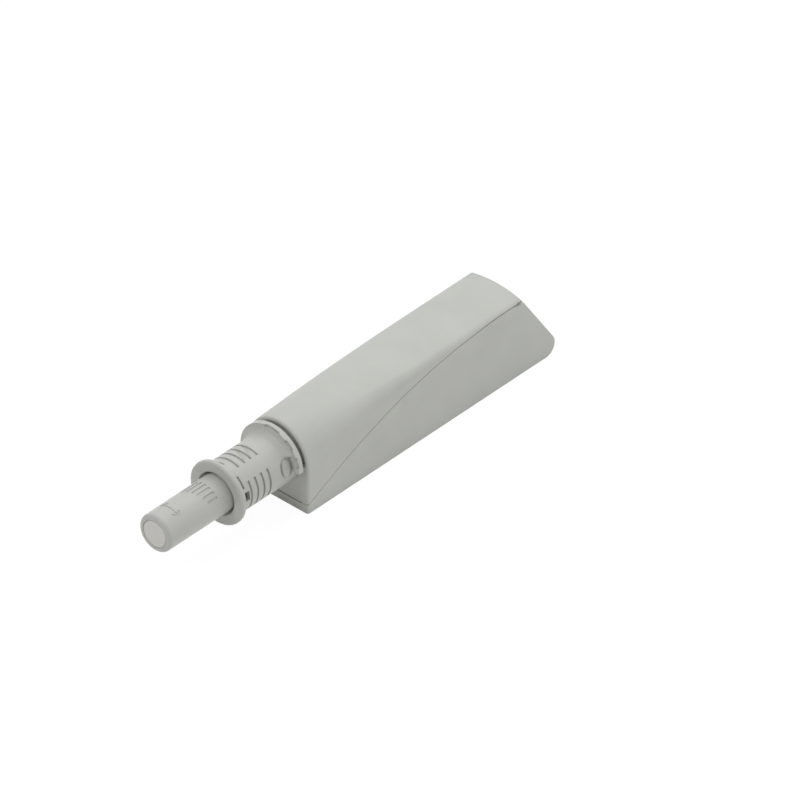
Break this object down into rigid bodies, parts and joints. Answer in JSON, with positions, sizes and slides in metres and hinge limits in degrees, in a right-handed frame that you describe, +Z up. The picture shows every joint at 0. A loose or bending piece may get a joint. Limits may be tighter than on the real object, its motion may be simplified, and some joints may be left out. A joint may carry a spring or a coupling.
{
  "type": "touch latch",
  "caption": "Push-to-open touch latch: sprung plunger with heart-track catch in a round barrel, held in a screw-on housing with a hinged cover.",
  "frame": {"origin": "on the mounting plane, midway between the two screw holes in the floor of the housing", "axes": "+Y along the latch axis towards the slanted rear end, the plunger points to -Y; +Z up from the mounting plane"},
  "size_m": [0.0136, 0.0922, 0.0162],
  "materials": {
    "housing_plastic": "fine matt moulded texture",
    "latch_plastic": "fine matt moulded texture",
    "buffer_plastic": "matt",
    "inner_plastic": "plain moulded",
    "spring_steel": "drawn wire"
  },
  "bodies": {
    "base": {"adapter_base": "housing_plastic"},
    "cover": {"adapter_cover": "housing_plastic", "barrel": "latch_plastic", "end_cap": "inner_plastic"},
    "carrier": {"latch_carrier": "inner_plastic", "spring_guide": "inner_plastic", "return_spring": "spring_steel"},
    "adjuster": {"adjusting_sleeve": "inner_plastic"},
    "plunger": {"plunger": "latch_plastic", "nose_buffer": "buffer_plastic", "retaining_clip": "spring_steel"},
    "slider": {"cam_slider": "inner_plastic", "spring_seat": "inner_plastic"},
    "ring": {"control_ring": "inner_plastic"}
  },
  "joints": [
    {"name": "cover_hinge", "type": "hinge", "parent": "base", "child": "cover", "pos_m": [0, 0.04225, 0.009], "axis": [-1, 0, 0], "range_deg": [0, 75]},
    {"name": "depth_adjust", "type": "slide", "parent": "cover", "child": "carrier", "axis": [0, -1, 0], "range_m": [-0.001, 0.004]},
    {"name": "adjuster_turn", "type": "hinge", "parent": "carrier", "child": "adjuster", "pos_m": [0, -0.0047, 0.00942], "axis": [0, 1, 0], "range_deg": [-290, 74]},
    {"name": "plunger_push", "type": "slide", "parent": "adjuster", "child": "plunger", "axis": [0, 1, 0], "range_m": [0, 0.0125], "stiffness_N_per_m": 250, "springref_m": -0.01, "deforming": ["return_spring"]},
    {"name": "cam_slide", "type": "slide", "parent": "carrier", "child": "slider", "axis": [0, 1, 0], "range_m": [0, 0.0126]},
    {"name": "ring_turn", "type": "hinge", "parent": "slider", "child": "ring", "pos_m": [0, 0.00715, 0.00942], "axis": [0, 1, 0], "range_deg": [0, 40.5]}
  ],
  "couplings": [
    {"joint": "adjuster_turn", "follows": "depth_adjust", "rad_per_m": -1256.6},
    {"joint": "cam_slide", "follows": "plunger_push", "ratio": 1},
    {"joint": "ring_turn", "follows": "plunger_push", "rad_per_m": 55.85}
  ]
}
